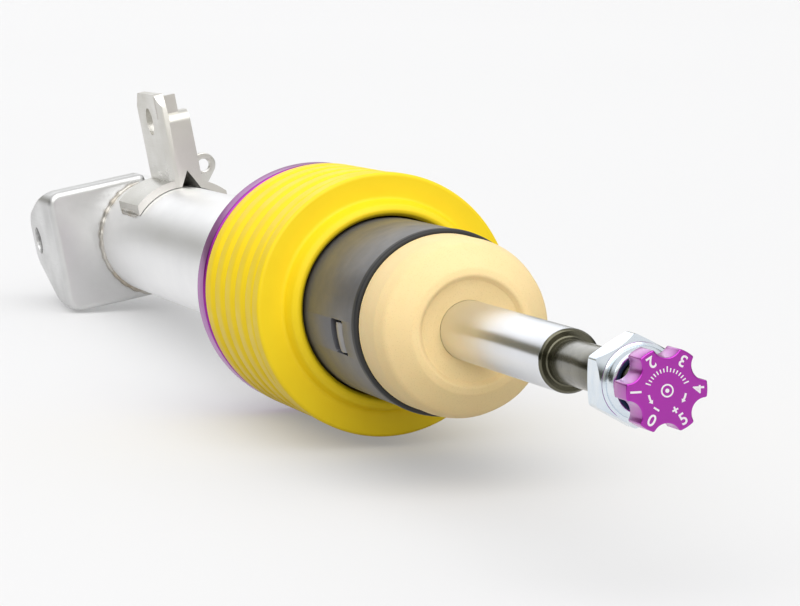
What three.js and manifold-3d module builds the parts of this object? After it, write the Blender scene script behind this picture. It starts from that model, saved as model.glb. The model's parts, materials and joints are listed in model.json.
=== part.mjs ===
// Adjustable coilover damper strut, without its main spring.
// Millimetres. +Z is up, and the strut lies on its side along +X, knob to the front.
// Stations along the strut are measured from the piston rod's shoulder, forward positive.
import * as THREE from 'three';
import { mergeVertices } from 'three/addons/utils/BufferGeometryUtils.js';
import Module from 'manifold-3d';

const wasm = await Module();
wasm.setup();

// ---------------------------------------------------------------- driving dimensions

const GAP = 0.3; // clearance between pieces that touch
const ROLL_DEG = 10.5; // the lower brackets are turned this far about the strut's axis

const ROD_R = 10;
const ROD_BORE_R = 3;
const PIN_R = 7; // M14 thread at the rod's end
const PIN_TIP = 64;
const ROD_END = -246;
const PISTON_SPIGOT_R = 6;

const NUT_BACK = 46.7;
const NUT_HEX_HEIGHT = 11;
const NUT_ACROSS_FLATS = 24;
const NUT_COLLAR_HEIGHT = 4;
const NUT_FRONT_CHAMFER = 4.2; // how far the front cone runs back along the corners

const KNOB_FRONT = 78.4;
const KNOB_THICKNESS = 10;
const KNOB_TIP_R = 12.2;
const KNOB_LOBES = 6;
const SCALLOP_R = 4.3;
const SCALLOP_CENTRE_R = 13.5;

const STOP_FRONT = -92;
const STOP_R = 30.2;
const SLEEVE_FRONT = -126;
const SLEEVE_BACK = -225;
const SLEEVE_R = 31.5;
const SLEEVE_BORE_R = 29.4;
const WINDOW_X = -144; // clip window in the sleeve's side
const WINDOW_LENGTH = 14;
const WINDOW_WIDTH = 12;

const SEAT_FRONT = -189.7;
const SEAT_R = 47;
const SEAT_THICKNESS = 8;
const COLLAR_LENGTH = 72.7;
const COLLAR_RIBS = 5;
const COLLAR_R = 46.6;
const RING_THICKNESS = 10;
const RING_R = 46.3;
const THREAD_CLEAR_R = 26.2;

const TUBE_FRONT = -150;
const TUBE_BACK = -590;
const TUBE_R = 25.5;
const TUBE_BORE_R = 23;
const CYLINDER_BORE_R = 17.5;
const CYLINDER_R = 19;

const PLATE = 4; // thickness of the lower bracket's sheet
const BRACKET_FRONT = -545;
const BRACKET_REACH = 46; // from the strut's axis to the lug's outer face
const BRACKET_TOP = 29;
const BRACKET_BOTTOM = -26;
const BRACKET_BEND_R = 6;
const BRACKET_FLANGE = 14; // depth of the top and bottom flanges
const LUG_X = -587; // bolt hole in the lug
const LUG_Z = 5;
const LUG_NOSE_R = 14;
const LUG_HOLE_R = 6.3;

const LINK_FRONT = -482;
const LINK_DEPTH = 37;
const LINK_TOP = 67.5;
const LINK_FLANGE_WIDTH = 13.6;
const LINK_SHEET = 3.2;
const LINK_HOLE_R = 6;
const LINK_HOLE_X = -501;
const LINK_HOLE_Z = 55;

const FINE = 48; // facets round the large visible rings
const COARSE = 24; // facets round the inner pieces

// ---------------------------------------------------------------- solids

// A closed three.js geometry as a manifold solid, turned to face outwards.
function toSolid(geometry) {
  const bare = new THREE.BufferGeometry();
  bare.setAttribute('position', geometry.getAttribute('position').clone());
  if (geometry.index) bare.setIndex(geometry.index.clone());
  const merged = mergeVertices(bare, 1e-4);
  const index = merged.index.array;
  const kept = [];
  for (let i = 0; i < index.length; i += 3) {
    const [a, b, c] = [index[i], index[i + 1], index[i + 2]];
    if (a !== b && b !== c && c !== a) kept.push(a, b, c);
  }
  if (signedVolume(merged.getAttribute('position'), kept) < 0) kept.reverse();
  const mesh = new wasm.Mesh({
    numProp: 3,
    vertProperties: new Float32Array(merged.getAttribute('position').array),
    triVerts: new Uint32Array(kept),
  });
  return new wasm.Manifold(mesh);
}

function signedVolume(position, index) {
  const [a, b, c] = [new THREE.Vector3(), new THREE.Vector3(), new THREE.Vector3()];
  let volume = 0;
  for (let i = 0; i < index.length; i += 3) {
    a.fromBufferAttribute(position, index[i]);
    b.fromBufferAttribute(position, index[i + 1]);
    c.fromBufferAttribute(position, index[i + 2]);
    volume += a.dot(b.cross(c)) / 6;
  }
  return volume;
}

function toGeometry(solid) {
  const mesh = solid.getMesh();
  const geometry = new THREE.BufferGeometry();
  geometry.setAttribute('position', new THREE.BufferAttribute(new Float32Array(mesh.vertProperties), 3));
  geometry.setIndex(new THREE.BufferAttribute(new Uint32Array(mesh.triVerts), 1));
  geometry.computeVertexNormals();
  return geometry;
}

// A solid of revolution about X. The profile is a list of [station, radius].
// It closes on itself unless it starts and ends on the axis.
function turned(profile, segments = COARSE) {
  const points = profile.map(([x, r]) => new THREE.Vector2(r, x));
  const onAxis = points[0].x === 0 && points[points.length - 1].x === 0;
  if (!onAxis) points.push(points[0].clone());
  const lathe = new THREE.LatheGeometry(points, segments);
  lathe.rotateZ(-Math.PI / 2);
  return toSolid(lathe);
}

// A plain ring between two stations.
function ring(front, back, innerR, outerR, segments = COARSE) {
  return turned([[front, innerR], [front, outerR], [back, outerR], [back, innerR]], segments);
}

function box(minX, maxX, minY, maxY, minZ, maxZ) {
  const geometry = new THREE.BoxGeometry(maxX - minX, maxY - minY, maxZ - minZ);
  geometry.translate((minX + maxX) / 2, (minY + maxY) / 2, (minZ + maxZ) / 2);
  return toSolid(geometry);
}

// A plain cylinder along X, Y or Z. It runs from one coordinate to the other on that axis, moved by at.
function bar(axis, from, to, radius, at, segments = COARSE) {
  const geometry = new THREE.CylinderGeometry(radius, radius, to - from, segments);
  geometry.translate(0, (from + to) / 2, 0);
  if (axis === 'x') geometry.rotateZ(-Math.PI / 2);
  if (axis === 'z') geometry.rotateX(Math.PI / 2);
  geometry.translate(...at);
  return toSolid(geometry);
}

// A flat outline in Y and Z, pushed from one station to another along X.
function extrudedAlongX(shape, from, to, curveSegments = 10) {
  const depth = to - from;
  const geometry = new THREE.ExtrudeGeometry(shape, { depth, bevelEnabled: false, curveSegments });
  geometry.rotateY(Math.PI / 2);
  geometry.rotateX(Math.PI / 2);
  geometry.translate(from, 0, 0);
  return toSolid(geometry);
}

// A flat outline in X and Z, pushed from one Y to another.
function extrudedAlongY(shape, from, to, curveSegments = 12) {
  const depth = to - from;
  const geometry = new THREE.ExtrudeGeometry(shape, { depth, bevelEnabled: false, curveSegments });
  geometry.rotateX(Math.PI / 2);
  geometry.translate(0, to, 0);
  return toSolid(geometry);
}

function hexagon(acrossFlats) {
  const cornerR = acrossFlats / Math.sqrt(3);
  const shape = new THREE.Shape();
  for (let i = 0; i < 6; i += 1) {
    const angle = (i * Math.PI) / 3 + Math.PI / 6;
    const corner = [cornerR * Math.cos(angle), cornerR * Math.sin(angle)];
    if (i === 0) shape.moveTo(...corner);
    else shape.lineTo(...corner);
  }
  shape.closePath();
  return shape;
}

// ---------------------------------------------------------------- materials and pieces

const MATERIALS = {
  anodised: { color: 0x7d2390, roughness: 0.3, metalness: 0.9 },
  zinc: { color: 0xbfcbd6, roughness: 0.28, metalness: 1.0 },
  chrome: { color: 0xdfe2e4, roughness: 0.06, metalness: 1.0 },
  foam: { color: 0xf4e0a4, roughness: 0.9, metalness: 0.0 },
  sleevePlastic: { color: 0x45464d, roughness: 0.45, metalness: 0.0 },
  rubber: { color: 0x151517, roughness: 0.6, metalness: 0.0 },
  yellow: { color: 0xf5c800, roughness: 0.42, metalness: 0.0 },
  stainless: { color: 0xc7c8c9, roughness: 0.25, metalness: 1.0 },
  plated: { color: 0xb9bbbd, roughness: 0.32, metalness: 1.0 },
  darkSteel: { color: 0x3c3d40, roughness: 0.4, metalness: 0.9 },
  castAluminium: { color: 0x9b9da0, roughness: 0.5, metalness: 0.9 },
  bearing: { color: 0x8c6f4a, roughness: 0.5, metalness: 0.5 },
  nylon: { color: 0x33486b, roughness: 0.5, metalness: 0.0 },
};

function piece(name, solid, finish) {
  const mesh = new THREE.Mesh(toGeometry(solid), new THREE.MeshStandardMaterial(MATERIALS[finish]));
  mesh.name = name;
  return mesh;
}

// ---------------------------------------------------------------- knob and adjuster

function knobOutline() {
  const shape = new THREE.Shape();
  const step = (2 * Math.PI) / KNOB_LOBES;
  // half of the angle that one scallop takes out of the tip circle
  const cosine = (KNOB_TIP_R ** 2 + SCALLOP_CENTRE_R ** 2 - SCALLOP_R ** 2) / (2 * KNOB_TIP_R * SCALLOP_CENTRE_R);
  const half = Math.acos(cosine);
  const mouth = new THREE.Vector2(KNOB_TIP_R * Math.cos(half) - SCALLOP_CENTRE_R, KNOB_TIP_R * Math.sin(half));
  const mouthAngle = Math.atan2(mouth.y, mouth.x);
  for (let lobe = 0; lobe < KNOB_LOBES; lobe += 1) {
    const middle = lobe * step;
    const scallop = middle + step / 2;
    const centre = [SCALLOP_CENTRE_R * Math.cos(scallop), SCALLOP_CENTRE_R * Math.sin(scallop)];
    shape.absarc(0, 0, KNOB_TIP_R, middle - step / 2 + half, scallop - half, false);
    shape.absarc(...centre, SCALLOP_R, scallop - mouthAngle, scallop + mouthAngle - 2 * Math.PI, true);
  }
  return shape;
}

function makeAdjuster() {
  const knobBack = KNOB_FRONT - KNOB_THICKNESS;
  const grubX = knobBack + 4;
  const lobed = extrudedAlongX(knobOutline(), knobBack, KNOB_FRONT, 5);
  const edge = 0.8;
  const blank = turned([
    [knobBack, 0], [knobBack, KNOB_TIP_R - edge], [knobBack + edge, KNOB_TIP_R + 0.1],
    [KNOB_FRONT - edge, KNOB_TIP_R + 0.1], [KNOB_FRONT, KNOB_TIP_R - edge], [KNOB_FRONT, 0],
  ]);
  const hub = ring(PIN_TIP + 1, knobBack + 1, 2.8, 6);
  const spindleBore = bar('x', PIN_TIP, KNOB_FRONT - 3, 2.8, [0, 0, 0]);
  const grubBore = bar('z', -KNOB_TIP_R, 0, 1.7, [grubX, 0, 0], 16);
  const knob = lobed.intersect(blank).add(hub).subtract(spindleBore).subtract(grubBore);

  const spindle = turned([
    [ROD_END + 4, 0], [ROD_END + 14, 2.4], [KNOB_FRONT - 3.6, 2.4], [KNOB_FRONT - 3.6, 0],
  ], 24);
  const grub = bar('z', -8, -2.8, 1.4, [grubX, 0, 0], 16);
  return [
    piece('adjuster_knob', knob, 'anodised'),
    piece('adjuster_spindle', spindle, 'darkSteel'),
    piece('knob_grub_screw', grub, 'darkSteel'),
  ];
}

// ---------------------------------------------------------------- rod, nut and piston

function makeNut() {
  const hexFront = NUT_BACK + NUT_HEX_HEIGHT;
  const cornerR = NUT_ACROSS_FLATS / Math.sqrt(3);
  const flatR = NUT_ACROSS_FLATS / 2;
  const collarFront = hexFront + NUT_COLLAR_HEIGHT;
  const prism = extrudedAlongX(hexagon(NUT_ACROSS_FLATS), NUT_BACK, hexFront);
  const chamfers = turned([
    [NUT_BACK, 0], [NUT_BACK, flatR], [NUT_BACK + 1.1, cornerR + 0.05],
    [hexFront - NUT_FRONT_CHAMFER, cornerR + 0.05], [hexFront, flatR - 0.3], [hexFront, 0],
  ]);
  const collar = turned([
    [hexFront - 1, 8], [hexFront - 1, 10.8], [collarFront - 1.5, 10.5], [collarFront - 0.3, 9.9],
    [collarFront, 9], [collarFront, 8],
  ]);
  const bore = bar('x', NUT_BACK - 1, collarFront + 1, PIN_R + GAP, [0, 0, 0]);
  const insertSeat = bar('x', hexFront + 0.5, collarFront + 1, 9.2, [0, 0, 0]);
  const nut = prism.intersect(chamfers).add(collar).subtract(bore).subtract(insertSeat);
  const insert = ring(hexFront + 0.5 + GAP, collarFront - 0.3, PIN_R + GAP, 9.2 - GAP);
  return [
    piece('top_nut', nut, 'zinc'),
    piece('nut_insert', insert, 'nylon'),
  ];
}

function makeRod() {
  const spigotFront = -205;
  const rod = turned([
    [PIN_TIP, ROD_BORE_R], [PIN_TIP, PIN_R - 1.1], [PIN_TIP - 1.1, PIN_R], [0, PIN_R],
    [0, ROD_R - 0.8], [-0.8, ROD_R], [spigotFront, ROD_R], [spigotFront, PISTON_SPIGOT_R],
    [ROD_END, PISTON_SPIGOT_R], [ROD_END, ROD_BORE_R],
  ], 48);
  return [piece('piston_rod', rod, 'chrome')];
}

function makePistonParts() {
  const boreR = PISTON_SPIGOT_R + GAP;
  const piston = turned([
    [-214, boreR], [-214, 17.1], [-218.5, 17.1], [-218.5, 16], [-229.5, 16], [-229.5, 17.1],
    [-234, 17.1], [-234, boreR],
  ]);
  const nutPrism = extrudedAlongX(hexagon(19), -245, -238);
  const pistonNut = nutPrism.subtract(bar('x', -246, -237, boreR, [0, 0, 0]));
  return [
    piece('rebound_stop', ring(-192, -198, ROD_R + GAP, 15.5), 'darkSteel'),
    piece('backing_washer', ring(-205.3, -210.2, boreR, 12), 'zinc'),
    piece('rebound_shims', ring(-210.5, -213.7, boreR, 13.5), 'stainless'),
    piece('piston', piston, 'castAluminium'),
    piece('compression_shims', ring(-234.3, -237.7, boreR, 13.5), 'stainless'),
    piece('piston_nut', pistonNut, 'zinc'),
    piece('piston_band', ring(-218.9, -229.1, 16.3, 17.3), 'bearing'),
  ];
}

// ---------------------------------------------------------------- bump stop and dust sleeve

function makeBumpStop() {
  const holeR = ROD_R + 0.4;
  const shoulder = 12;
  const neckR = SLEEVE_BORE_R - 0.5;
  const profile = [[STOP_FRONT - 7, holeR], [STOP_FRONT - 4, 15], [STOP_FRONT - 0.6, 16.4], [STOP_FRONT, 17.6]];
  // a quarter ellipse from the front face to the full radius
  const startR = 20;
  for (let i = 0; i <= 4; i += 1) {
    const angle = (i * Math.PI) / 8;
    const radius = startR + (STOP_R - startR) * Math.sin(angle);
    profile.push([STOP_FRONT - shoulder * (1 - Math.cos(angle)), radius]);
  }
  profile.push([SLEEVE_FRONT + 4.1, STOP_R], [SLEEVE_FRONT + 4.1, neckR], [TUBE_FRONT + 6, neckR]);
  profile.push([TUBE_FRONT + 6, holeR]);
  return piece('bump_stop', turned(profile, FINE), 'foam');
}

function makeSleeve() {
  const sleeve = ring(SLEEVE_FRONT, SLEEVE_BACK, SLEEVE_BORE_R, SLEEVE_R, FINE);
  const halfLength = WINDOW_LENGTH / 2;
  const halfWidth = WINDOW_WIDTH / 2;
  const window = box(
    WINDOW_X - halfLength, WINDOW_X + halfLength, -SLEEVE_R - 4, -SLEEVE_BORE_R + 6, -halfWidth, halfWidth,
  ).rotate([10, 0, 0]);
  const rim = turned([
    [SLEEVE_FRONT + 3.8, SLEEVE_BORE_R], [SLEEVE_FRONT + 3.8, SLEEVE_R - 0.6], [SLEEVE_FRONT + 3, SLEEVE_R + 0.3],
    [SLEEVE_FRONT + GAP, SLEEVE_R + 0.3], [SLEEVE_FRONT + GAP, SLEEVE_BORE_R],
  ], FINE);
  return [
    piece('dust_sleeve', sleeve.subtract(window), 'sleevePlastic'),
    piece('sleeve_rim', rim, 'rubber'),
  ];
}

// ---------------------------------------------------------------- spring seat, collar, lock ring

function makeSeat() {
  const boreR = SLEEVE_R + 0.6;
  const back = SEAT_FRONT - SEAT_THICKNESS;
  const lipFront = SEAT_FRONT + 7.7;
  const seat = turned([
    [lipFront - 1.6, boreR], [lipFront - 0.4, boreR + 0.9], [lipFront, boreR + 2.2], [lipFront - 1, 36],
    [lipFront - 3, 37], [SEAT_FRONT, 37.4], [SEAT_FRONT, SEAT_R - 0.8], [SEAT_FRONT - 0.8, SEAT_R],
    [back, SEAT_R], [back, boreR],
  ], FINE);
  return piece('spring_seat', seat, 'yellow');
}

function makeCollar() {
  const front = SEAT_FRONT - SEAT_THICKNESS - GAP;
  const back = front - COLLAR_LENGTH;
  const threadFront = back + 23;
  const cupR = SLEEVE_R + 1;
  const grooveR = COLLAR_R - 2.2;
  const pitch = COLLAR_LENGTH / COLLAR_RIBS;
  const profile = [[front, cupR]];
  for (let rib = 0; rib < COLLAR_RIBS; rib += 1) {
    for (const [along, radius] of [[0, grooveR], [0.25, COLLAR_R], [0.75, COLLAR_R]]) {
      profile.push([front - pitch * (rib + along), radius]);
    }
  }
  profile.push([back, grooveR], [back, THREAD_CLEAR_R], [threadFront, THREAD_CLEAR_R], [threadFront + 3, cupR]);
  return piece('perch_collar', turned(profile, FINE), 'yellow');
}

function makeLockRing() {
  const front = SEAT_FRONT - SEAT_THICKNESS - COLLAR_LENGTH - 2 * GAP;
  const back = front - RING_THICKNESS;
  const middle = (front + back) / 2;
  const blank = turned([
    [front, THREAD_CLEAR_R], [front, RING_R - 0.8], [front - 0.8, RING_R], [back + 0.8, RING_R],
    [back, RING_R - 0.8], [back, THREAD_CLEAR_R],
  ], FINE);
  const bore = bar('y', 0, RING_R + 2, 2.6, [middle, 0, 0], 16);
  const screw = bar('y', THREAD_CLEAR_R + 0.6, RING_R - 4, 2.2, [middle, 0, 0], 16);
  return [
    piece('lock_ring', blank.subtract(bore), 'anodised'),
    piece('lock_set_screw', screw, 'darkSteel'),
  ];
}

// ---------------------------------------------------------------- tube and its inner parts

function makeTube() {
  const tube = turned([
    [TUBE_FRONT, TUBE_BORE_R], [TUBE_FRONT, TUBE_R - 0.8], [TUBE_FRONT - 0.8, TUBE_R],
    [TUBE_BACK, TUBE_R], [TUBE_BACK, TUBE_BORE_R],
  ], FINE);
  const cap = turned([
    [TUBE_BACK + 8, 0], [TUBE_BACK + 8, TUBE_BORE_R - 0.4], [TUBE_BACK - GAP, TUBE_BORE_R - 0.4],
    [TUBE_BACK - GAP, TUBE_R - 0.3], [TUBE_BACK - 3, TUBE_R - 0.3], [TUBE_BACK - 4, TUBE_R - 1.3],
    [TUBE_BACK - 4, 0],
  ]);
  return [
    piece('damper_tube', tube, 'stainless'),
    piece('bottom_cap', cap, 'stainless'),
  ];
}

function makeGland() {
  const fitR = TUBE_BORE_R - GAP;
  const rodClear = ROD_R + GAP;
  const glandBack = TUBE_FRONT - 16;
  const gland = turned([
    [TUBE_FRONT + 3.5, 14.3], [TUBE_FRONT + 3.5, 23.8], [TUBE_FRONT + 2.7, 24.6], [TUBE_FRONT + GAP, 24.6],
    [TUBE_FRONT + GAP, fitR], [glandBack, fitR], [glandBack, 10.8], [TUBE_FRONT - 3.3, 10.8],
    [TUBE_FRONT - 3.3, 14.3],
  ]);
  const guideFront = glandBack - GAP;
  const guideBack = guideFront - 19.7;
  const guide = turned([
    [guideFront, 18], [guideFront, fitR], [guideFront - 11, fitR], [guideFront - 11, 20],
    [guideFront - 15, 20], [guideFront - 15, fitR], [guideBack, fitR], [guideBack, CYLINDER_BORE_R - 0.4],
    [guideBack - 4, CYLINDER_BORE_R - 0.4], [guideBack - 4, 14], [guideBack, 12], [guideFront - 7, 12],
    [guideFront - 7, 18],
  ]);
  return [
    piece('gland_nut', gland, 'darkSteel'),
    piece('rod_wiper', ring(TUBE_FRONT + 3, TUBE_FRONT - 3, rodClear, 14), 'rubber'),
    piece('rod_seal', ring(guideFront - GAP, guideFront - 6.7, rodClear, 17.7), 'rubber'),
    piece('rod_guide', guide, 'castAluminium'),
    piece('guide_bush', ring(guideFront - 7.6, guideBack + 0.5, rodClear, 11.7), 'bearing'),
    piece('guide_o_ring', ring(guideFront - 11.4, guideFront - 14.6, 20.3, fitR), 'rubber'),
  ];
}

function makeCylinderAndFootValve() {
  const top = -186.3;
  const bottom = -570;
  const boltR = 3;
  const clearR = boltR + GAP;
  const body = turned([
    [bottom + 6, clearR], [bottom + 6, CYLINDER_BORE_R - 0.4], [bottom - GAP, CYLINDER_BORE_R - 0.4],
    [bottom - GAP, 21.5], [bottom - 6, 21.5], [bottom - 6, clearR],
  ]);
  const bolt = turned([
    [bottom + 12.6, 0], [bottom + 12.6, 5.2], [bottom + 8.9, 5.2], [bottom + 8.9, boltR],
    [bottom - 6.3, boltR], [bottom - 6.3, 5], [bottom - 10, 5], [bottom - 10, 0],
  ], 24);
  return [
    piece('inner_cylinder', ring(top, bottom, CYLINDER_BORE_R, CYLINDER_R), 'stainless'),
    piece('base_valve_body', body, 'castAluminium'),
    piece('base_valve_shims', ring(bottom + 8.6, bottom + 6.3, clearR, 13), 'stainless'),
    piece('base_valve_bolt', bolt, 'zinc'),
  ];
}

// ---------------------------------------------------------------- brackets on the tube

// The angle at which a tangent from a corner meets a circle; side is +1 or -1.
function tangentAngle(centre, radius, corner, side) {
  const away = new THREE.Vector2().subVectors(corner, centre);
  return away.angle() + side * Math.acos(radius / away.length());
}

// Side view of the lower bracket: a straight front, short flanges and a round-nosed lug.
function lugOutline() {
  const flangeEnd = BRACKET_FRONT - BRACKET_FLANGE;
  const nose = new THREE.Vector2(LUG_X, LUG_Z);
  const topCorner = new THREE.Vector2(flangeEnd, BRACKET_TOP);
  const bottomCorner = new THREE.Vector2(flangeEnd, BRACKET_BOTTOM);
  const start = tangentAngle(nose, LUG_NOSE_R, topCorner, 1);
  const end = tangentAngle(nose, LUG_NOSE_R, bottomCorner, -1);
  const shape = new THREE.Shape();
  shape.moveTo(BRACKET_FRONT, BRACKET_BOTTOM);
  shape.lineTo(BRACKET_FRONT, BRACKET_TOP);
  shape.lineTo(topCorner.x, topCorner.y);
  shape.absarc(nose.x, nose.y, LUG_NOSE_R, start, end, false);
  shape.lineTo(bottomCorner.x, bottomCorner.y);
  shape.closePath();
  return shape;
}

// Front view of the folded sheet, shrunk by inset for its inner face.
function foldedOutline(inset) {
  const outer = -BRACKET_REACH + inset;
  const top = BRACKET_TOP - inset;
  const bottom = BRACKET_BOTTOM + inset;
  const bend = BRACKET_BEND_R - inset;
  const shape = new THREE.Shape();
  shape.moveTo(inset, bottom);
  shape.lineTo(inset, top);
  shape.lineTo(outer + bend, top);
  shape.absarc(outer + bend, top - bend, bend, Math.PI / 2, Math.PI, false);
  shape.lineTo(outer, bottom + bend);
  shape.absarc(outer + bend, bottom + bend, bend, Math.PI, 1.5 * Math.PI, false);
  shape.closePath();
  return shape;
}

function makeKnuckleBracket() {
  const rear = LUG_X - LUG_NOSE_R - 1;
  const block = extrudedAlongX(foldedOutline(0), rear, BRACKET_FRONT, 4);
  const hollow = extrudedAlongX(foldedOutline(PLATE), rear - 1, BRACKET_FRONT - PLATE, 4);
  const side = extrudedAlongY(lugOutline(), -BRACKET_REACH - 1, 1, 14);
  const tubeSpace = bar('x', rear - 1, BRACKET_FRONT + 1, TUBE_R + GAP, [0, 0, 0], FINE);
  const boltHole = bar('y', -BRACKET_REACH - 1, -BRACKET_REACH + PLATE + 1, LUG_HOLE_R, [LUG_X, 0, LUG_Z], 28);
  const bracket = block.subtract(hollow).intersect(side).subtract(tubeSpace).subtract(boltHole);

  const nutFrom = -BRACKET_REACH + PLATE + GAP;
  const nutTo = nutFrom + 10;
  const nutPrism = extrudedAlongX(hexagon(18), nutFrom, nutTo).rotate([0, 0, 90]).translate([LUG_X, 0, LUG_Z]);
  const nutBore = bar('y', nutFrom - 1, nutTo + 1, 6.1, [LUG_X, 0, LUG_Z], 28);
  return [
    piece('knuckle_bracket', bracket, 'plated'),
    piece('bracket_weld_nut', nutPrism.subtract(nutBore), 'plated'),
  ];
}

// A tent that is triangular at its front and runs down to its base line at the back.
function wedge(front, back, minY, maxY, base, peak) {
  const middleY = (minY + maxY) / 2;
  const depth = 4; // below the base line, to reach into the pieces under it
  return wasm.Manifold.hull([
    [front, minY, base], [front, maxY, base], [front, middleY, peak], [back, middleY, base],
    [front, minY, base - depth], [front, maxY, base - depth], [back, middleY, base - depth],
  ]);
}

function makeLinkBracket() {
  const back = LINK_FRONT - LINK_DEPTH;
  const webLeft = -2.4;
  const footR = TUBE_R + GAP;
  const saddleR = footR + LINK_SHEET;
  // upright web, with its rear top corner cut off
  const side = new THREE.Shape();
  side.moveTo(LINK_FRONT, 20);
  side.lineTo(LINK_FRONT, LINK_TOP - 9);
  side.lineTo(LINK_FRONT - 3, LINK_TOP);
  side.lineTo(back + 6, LINK_TOP);
  side.lineTo(back, LINK_TOP - 6);
  side.lineTo(back, 20);
  side.closePath();
  const web = extrudedAlongY(side, webLeft, webLeft + LINK_SHEET);
  const flange = box(LINK_FRONT - LINK_SHEET, LINK_FRONT, webLeft, webLeft + LINK_FLANGE_WIDTH, 20, LINK_TOP - 9);
  // the flange's top folds back as a short shelf, and a narrow lip stands above it
  const flangeRight = webLeft + LINK_FLANGE_WIDTH;
  const shelf = box(
    LINK_FRONT - 10, LINK_FRONT, webLeft, flangeRight, LINK_TOP - 9 - LINK_SHEET, LINK_TOP - 9,
  );
  const lip = box(LINK_FRONT - 3 - LINK_SHEET, LINK_FRONT - 3, webLeft, 7.3, LINK_TOP - 10, LINK_TOP - 1.5);
  // saddle feet that follow the tube on both sides
  const saddleRing = ring(LINK_FRONT - 1, back - 2, footR, saddleR, FINE);
  const saddle = saddleRing.intersect(box(back - 3, LINK_FRONT, -19, 21, 0, saddleR + 1));
  const tubeSpace = bar('x', back - 5, LINK_FRONT + 1, footR, [0, 0, 0], FINE);
  const hole = bar('y', webLeft - 1, webLeft + LINK_SHEET + 1, LINK_HOLE_R, [LINK_HOLE_X, 0, LINK_HOLE_Z], 28);
  // a pressed dart stiffens the corner between flange and saddle; it is open at the front
  const dart = wedge(LINK_FRONT - 1, LINK_FRONT - 24, -1.4, 12.2, 24, 35);
  const gap = wedge(LINK_FRONT + 1, LINK_FRONT - 18, 0.6, 10.2, 24, 33);
  const sheetParts = web.add(flange).add(shelf).add(lip).add(saddle).add(dart);
  const bracket = sheetParts.subtract(tubeSpace).subtract(hole).subtract(gap);
  return piece('arb_link_bracket', bracket, 'plated');
}

function makeHoseBracket() {
  const x = LINK_FRONT - LINK_DEPTH - 7;
  const outline = new THREE.Shape();
  outline.moveTo(-5.5, TUBE_R + 0.9);
  outline.lineTo(5.5, TUBE_R + 0.9);
  outline.lineTo(5.5, 37);
  outline.absarc(0, 37, 5.5, 0, Math.PI, false);
  outline.closePath();
  const hole = bar('x', x - 5, x + 5, 2.8, [0, 0, 37], 20);
  const tab = extrudedAlongX(outline, x - 3, x).subtract(hole).rotate([-39, 0, 0]);
  const tubeSpace = bar('x', x - 5, x + 5, TUBE_R + GAP, [0, 0, 0], FINE);
  return piece('hose_bracket', tab.subtract(tubeSpace), 'plated');
}

// ---------------------------------------------------------------- assembly

const lowerBrackets = new THREE.Group();
lowerBrackets.add(...makeKnuckleBracket(), makeLinkBracket(), makeHoseBracket());
lowerBrackets.rotation.x = THREE.MathUtils.degToRad(ROLL_DEG);

const strut = new THREE.Group();
strut.add(...makeAdjuster(), ...makeNut(), ...makeRod(), ...makePistonParts());
strut.add(makeBumpStop(), ...makeSleeve(), makeSeat(), makeCollar(), ...makeLockRing());
strut.add(...makeTube(), ...makeGland(), ...makeCylinderAndFootValve(), lowerBrackets);

// The strut rests on the lock ring's rear edge and on the lower bracket's bottom corner.
const roll = THREE.MathUtils.degToRad(ROLL_DEG);
const bendY = BRACKET_REACH - BRACKET_BEND_R;
const bendZ = -BRACKET_BOTTOM - BRACKET_BEND_R;
const bracketDrop = bendY * Math.sin(roll) + bendZ * Math.cos(roll) + BRACKET_BEND_R;
const ringRear = SEAT_FRONT - SEAT_THICKNESS - COLLAR_LENGTH - 2 * GAP - RING_THICKNESS + 0.8;
const cornerX = BRACKET_FRONT - BRACKET_FLANGE;
const tilt = Math.atan((RING_R - bracketDrop) / (ringRear - cornerX));
strut.rotation.y = -tilt;

// The origin is the middle of the underside of the whole strut's box.
const bounds = new THREE.Box3().setFromObject(strut, true);
const centre = bounds.getCenter(new THREE.Vector3());
strut.position.set(-centre.x, -centre.y, -bounds.min.z);

const coilover = new THREE.Group();
coilover.add(strut);

export default coilover;
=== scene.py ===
# Looks of the coilover strut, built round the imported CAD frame.
# Shapes are made in millimetres in the strut's own frame: X along the rod towards the knob,
# from the rod's shoulder; -Y towards the bracket side; Z up. STRUT turns them into the row frame.
import json
import math

import bmesh
import bpy
from mathutils import Matrix, Vector, noise


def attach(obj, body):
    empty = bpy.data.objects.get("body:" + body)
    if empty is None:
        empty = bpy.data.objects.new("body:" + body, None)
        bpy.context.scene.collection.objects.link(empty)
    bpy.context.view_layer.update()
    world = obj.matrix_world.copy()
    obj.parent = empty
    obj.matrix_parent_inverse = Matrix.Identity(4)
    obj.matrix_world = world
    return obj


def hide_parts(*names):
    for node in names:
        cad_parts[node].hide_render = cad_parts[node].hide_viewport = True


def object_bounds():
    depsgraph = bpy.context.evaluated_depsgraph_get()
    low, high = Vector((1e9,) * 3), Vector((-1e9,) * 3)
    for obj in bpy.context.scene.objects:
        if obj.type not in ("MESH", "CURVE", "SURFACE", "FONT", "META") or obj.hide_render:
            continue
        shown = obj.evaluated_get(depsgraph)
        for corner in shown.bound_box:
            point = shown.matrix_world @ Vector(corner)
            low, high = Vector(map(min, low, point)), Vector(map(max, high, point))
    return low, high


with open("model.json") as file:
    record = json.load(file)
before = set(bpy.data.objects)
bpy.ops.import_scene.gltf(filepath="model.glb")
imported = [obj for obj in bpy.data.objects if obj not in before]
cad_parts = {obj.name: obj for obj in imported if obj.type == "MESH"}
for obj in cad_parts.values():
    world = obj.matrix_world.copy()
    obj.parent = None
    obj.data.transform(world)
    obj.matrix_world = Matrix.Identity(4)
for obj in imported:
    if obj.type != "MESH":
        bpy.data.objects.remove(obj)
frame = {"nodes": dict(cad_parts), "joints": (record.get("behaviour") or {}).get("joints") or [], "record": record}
cad_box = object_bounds()

# ---- frames

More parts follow.
